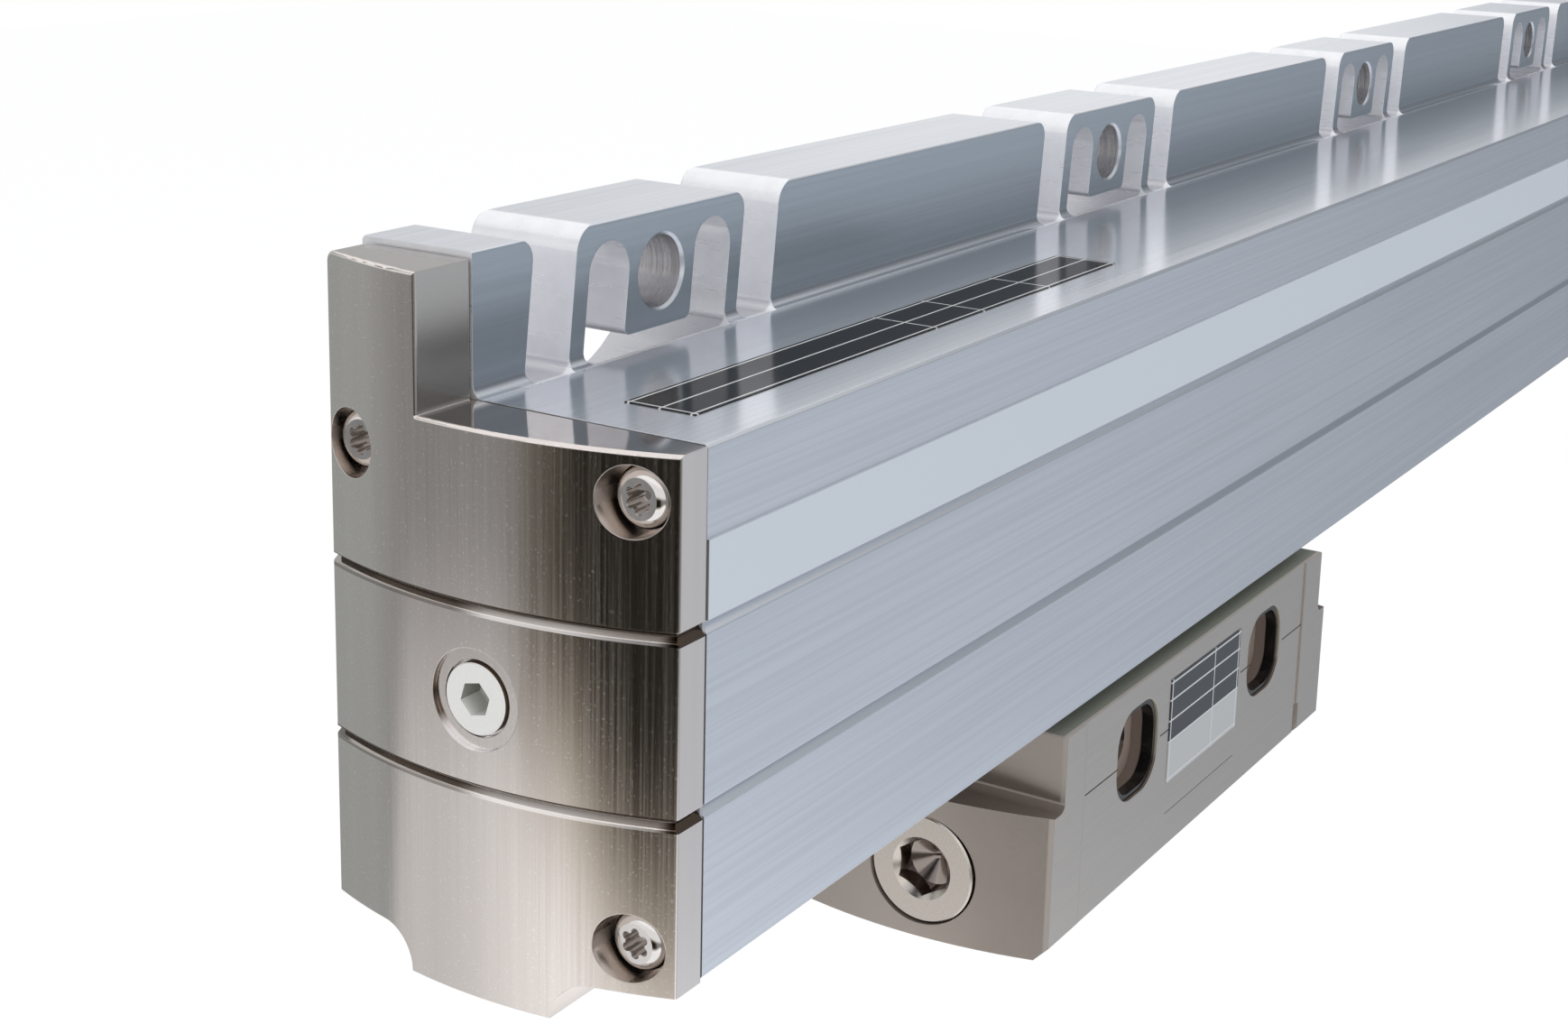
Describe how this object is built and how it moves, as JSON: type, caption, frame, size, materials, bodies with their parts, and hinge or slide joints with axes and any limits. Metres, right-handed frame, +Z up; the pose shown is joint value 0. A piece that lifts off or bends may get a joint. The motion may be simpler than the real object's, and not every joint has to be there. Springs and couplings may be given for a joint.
{
  "type": "sealed linear encoder",
  "caption": "Sealed linear glass scale in a long aluminium housing with a slotted mounting flange, convex end caps and a scanning unit that slides beneath it.",
  "frame": {"origin": "centre of the flange's row of mounting holes, on the mounting face", "axes": "+X along the housing, +Y into the machine at the mounting face, +Z up from the scanning unit to the flange"},
  "size_m": [1.0702, 0.038, 0.0873],
  "materials": {
    "housing_aluminium": "satin anodised, brushed lengthwise",
    "cap_nickel": "satin nickel, brushed upright",
    "scanner_nickel": "satin nickel, fine blasted grain",
    "screw_steel": "bright nickel",
    "steel": "ground",
    "glass": "clear with a fine grating",
    "lens_glass": "clear",
    "adhesive": "elastic, dull",
    "seal_rubber": "black, dull",
    "lip_rubber": "black, smooth",
    "white_plastic": "moulded",
    "black_plastic": "moulded",
    "foil": "bare printed foil",
    "grey_foil": "bare printed foil",
    "board": "solder mask",
    "chip": "moulded",
    "lead": "polyimide",
    "contact": "gold plated"
  },
  "bodies": {
    "housing": {"scale_housing": "housing_aluminium", "glass_scale": "glass", "scale_bond": "adhesive", "end_cap_left": "cap_nickel", "end_cap_right": "cap_nickel", "end_gasket_left": "seal_rubber", "end_gasket_right": "seal_rubber", "air_plug_left": "white_plastic", "air_plug_right": "white_plastic", "cap_screws_left": "screw_steel", "cap_screws_right": "screw_steel", "sealing_lip_front": "lip_rubber", "sealing_lip_back": "lip_rubber", "ledge_foil": "foil"},
    "carriage": {"carriage_frame": "housing_aluminium", "roller_pins": "steel", "press_springs": "steel", "lamp": "steel", "condenser_lens": "lens_glass", "scanning_reticle": "lens_glass", "light_sensors": "chip", "sensor_board": "board"},
    "coupling": {"coupling_rod": "steel"},
    "scanner": {"scanner_body": "scanner_nickel", "rear_cover": "scanner_nickel", "cover_seal": "seal_rubber", "cover_screws": "steel", "blanking_plug": "scanner_nickel", "plug_seal": "seal_rubber", "signal_socket": "black_plastic", "socket_contacts": "contact", "circuit_board": "board", "board_components": "chip", "pocket_liners": "black_plastic", "scanner_foil": "grey_foil", "coupling_blade": "steel", "blade_screws": "steel", "ribbon_lead": "lead"},
    "face_roller_left": {"face_roller_left": "steel"},
    "press_roller_left": {"press_roller_left": "steel"},
    "edge_roller_left": {"edge_roller_left": "steel"},
    "face_roller_right": {"face_roller_right": "steel"},
    "press_roller_right": {"press_roller_right": "steel"},
    "edge_roller_right": {"edge_roller_right": "steel"}
  },
  "joints": [
    {"name": "scan_slide", "type": "slide", "parent": "housing", "child": "carriage", "axis": [1, 0, 0], "range_m": [-0.0511, 0.8889]},
    {"name": "float_height", "type": "slide", "parent": "carriage", "child": "coupling", "axis": [0, 0, 1], "range_m": [-0.0003, 0.0003]},
    {"name": "float_side", "type": "slide", "parent": "coupling", "child": "scanner", "axis": [0, 1, 0], "range_m": [-0.0003, 0.0003]},
    {"name": "face_roller_left_spin", "type": "hinge", "parent": "carriage", "child": "face_roller_left", "pos_m": [-0.4439, -0.01898, -0.0258], "axis": [0, 0, 1], "continuous": true},
    {"name": "press_roller_left_spin", "type": "hinge", "parent": "carriage", "child": "press_roller_left", "pos_m": [-0.4439, -0.02852, -0.0258], "axis": [0, 0, 1], "continuous": true},
    {"name": "edge_roller_left_spin", "type": "hinge", "parent": "carriage", "child": "edge_roller_left", "pos_m": [-0.4439, -0.024, -0.03682], "axis": [0, 1, 0], "continuous": true},
    {"name": "face_roller_right_spin", "type": "hinge", "parent": "carriage", "child": "face_roller_right", "pos_m": [-0.3939, -0.01898, -0.0258], "axis": [0, 0, 1], "continuous": true},
    {"name": "press_roller_right_spin", "type": "hinge", "parent": "carriage", "child": "press_roller_right", "pos_m": [-0.3939, -0.02852, -0.0258], "axis": [0, 0, 1], "continuous": true},
    {"name": "edge_roller_right_spin", "type": "hinge", "parent": "carriage", "child": "edge_roller_right", "pos_m": [-0.3939, -0.024, -0.03682], "axis": [0, 1, 0], "continuous": true}
  ],
  "couplings": [
    {"joint": "face_roller_left_spin", "follows": "scan_slide", "rad_per_m": 333.33},
    {"joint": "press_roller_left_spin", "follows": "scan_slide", "rad_per_m": -400},
    {"joint": "edge_roller_left_spin", "follows": "scan_slide", "rad_per_m": -333.33},
    {"joint": "face_roller_right_spin", "follows": "scan_slide", "rad_per_m": 333.33},
    {"joint": "press_roller_right_spin", "follows": "scan_slide", "rad_per_m": -400},
    {"joint": "edge_roller_right_spin", "follows": "scan_slide", "rad_per_m": -333.33}
  ]
}
